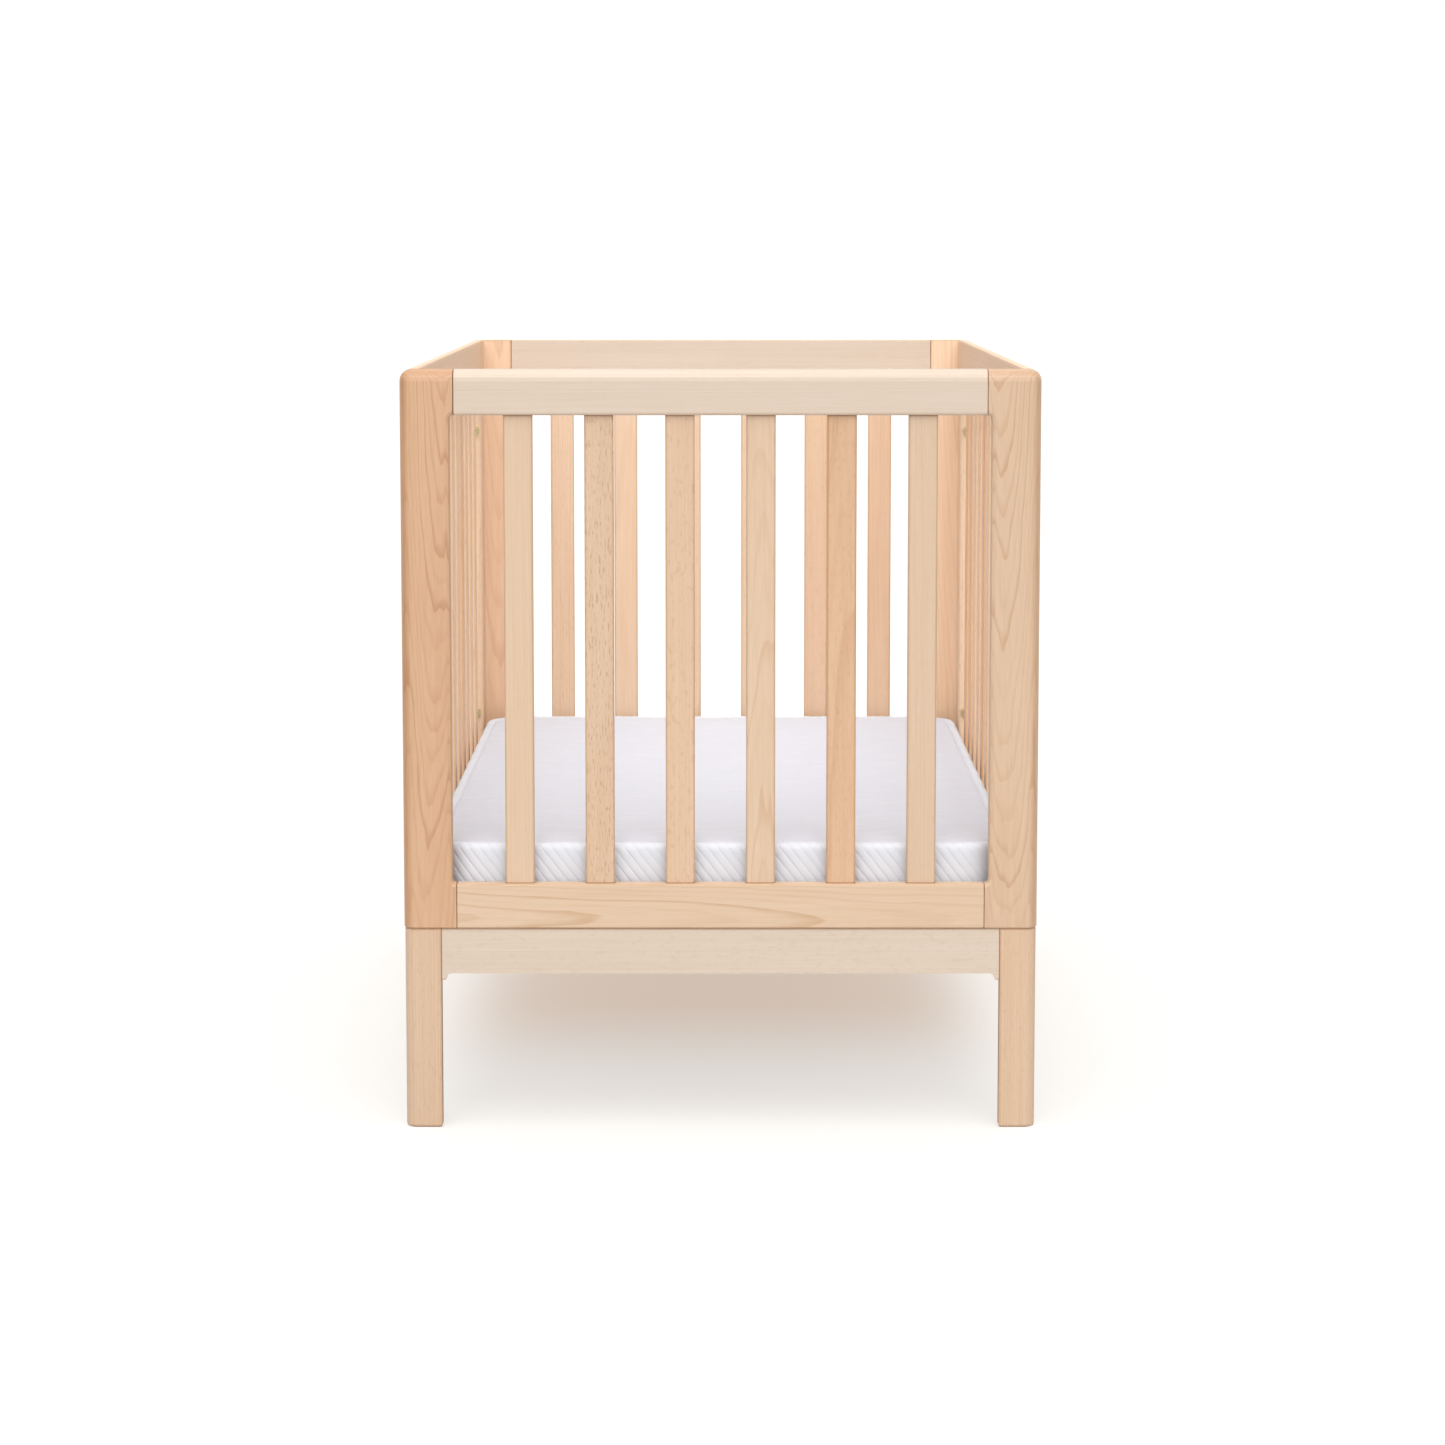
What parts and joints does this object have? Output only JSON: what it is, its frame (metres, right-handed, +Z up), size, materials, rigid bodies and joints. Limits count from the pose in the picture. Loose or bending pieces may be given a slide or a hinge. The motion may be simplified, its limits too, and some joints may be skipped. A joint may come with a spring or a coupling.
{
  "type": "baby crib",
  "caption": "Rectangular slatted crib in solid beech on a separate leg frame, with bolted panels, a slatted deck and a lift-out mattress.",
  "frame": {"origin": "on the floor under the middle of the crib", "axes": "+Z up, +Y along the crib from the front end panel to the back end panel, +X across it to the right as seen from the front end"},
  "size_m": [0.7, 1.24, 0.84],
  "materials": {
    "beech_pale": "satin clear lacquer, pale straight grain",
    "beech_tan": "satin clear lacquer, warm tan grain",
    "beech_rose": "satin clear lacquer, pinkish brown with flecks",
    "bare_beech": "unlacquered, planed",
    "zinc_bolt": "yellow zinc plated",
    "brass_insert": "plain",
    "mattress_cover": "quilted white knit"
  },
  "bodies": {
    "crib": {"back_apron": "beech_pale", "back_end_bottom_rail": "beech_tan", "back_end_left_stile": "beech_tan", "back_end_right_stile": "beech_tan", "back_end_slat_1": "beech_pale", "back_end_slat_2": "beech_rose", "back_end_slat_3": "beech_tan", "back_end_slat_4": "beech_pale", "back_end_slat_5": "beech_rose", "back_end_slat_6": "beech_tan", "back_end_top_rail": "beech_pale", "back_left_leg": "beech_tan", "back_left_leg_dowel": "bare_beech", "back_left_lower_bolt": "zinc_bolt", "back_left_lower_insert": "brass_insert", "back_left_upper_bolt": "zinc_bolt", "back_left_upper_insert": "brass_insert", "back_right_leg": "beech_tan", "back_right_leg_dowel": "bare_beech", "back_right_lower_bolt": "zinc_bolt", "back_right_lower_insert": "brass_insert", "back_right_upper_bolt": "zinc_bolt", "back_right_upper_insert": "brass_insert", "front_apron": "beech_pale", "front_end_bottom_rail": "beech_tan", "front_end_left_stile": "beech_tan", "front_end_right_stile": "beech_tan", "front_end_slat_1": "beech_pale", "front_end_slat_2": "beech_rose", "front_end_slat_3": "beech_tan", "front_end_slat_4": "beech_pale", "front_end_slat_5": "beech_rose", "front_end_slat_6": "beech_tan", "front_end_top_rail": "beech_pale", "front_left_leg": "beech_tan", "front_left_leg_dowel": "bare_beech", "front_left_lower_bolt": "zinc_bolt", "front_left_lower_insert": "brass_insert", "front_left_upper_bolt": "zinc_bolt", "front_left_upper_insert": "brass_insert", "front_right_leg": "beech_tan", "front_right_leg_dowel": "bare_beech", "front_right_lower_bolt": "zinc_bolt", "front_right_lower_insert": "brass_insert", "front_right_upper_bolt": "zinc_bolt", "front_right_upper_insert": "brass_insert", "left_apron": "beech_pale", "left_cleat": "beech_pale", "left_side_back_stile": "beech_tan", "left_side_front_stile": "beech_tan", "left_side_slats_and_bottom_rail": "beech_tan", "left_side_top_rail": "beech_tan", "mattress_deck": "bare_beech", "right_apron": "beech_pale", "right_cleat": "beech_pale", "right_side_back_stile": "beech_tan", "right_side_front_stile": "beech_tan", "right_side_slats_and_bottom_rail": "beech_tan", "right_side_top_rail": "beech_tan"},
    "mattress_body": {"mattress": "mattress_cover"}
  },
  "joints": [
    {"name": "mattress_lift", "type": "slide", "parent": "crib", "child": "mattress_body", "axis": [0, 0, 1], "range_m": [0, 0.66]}
  ]
}
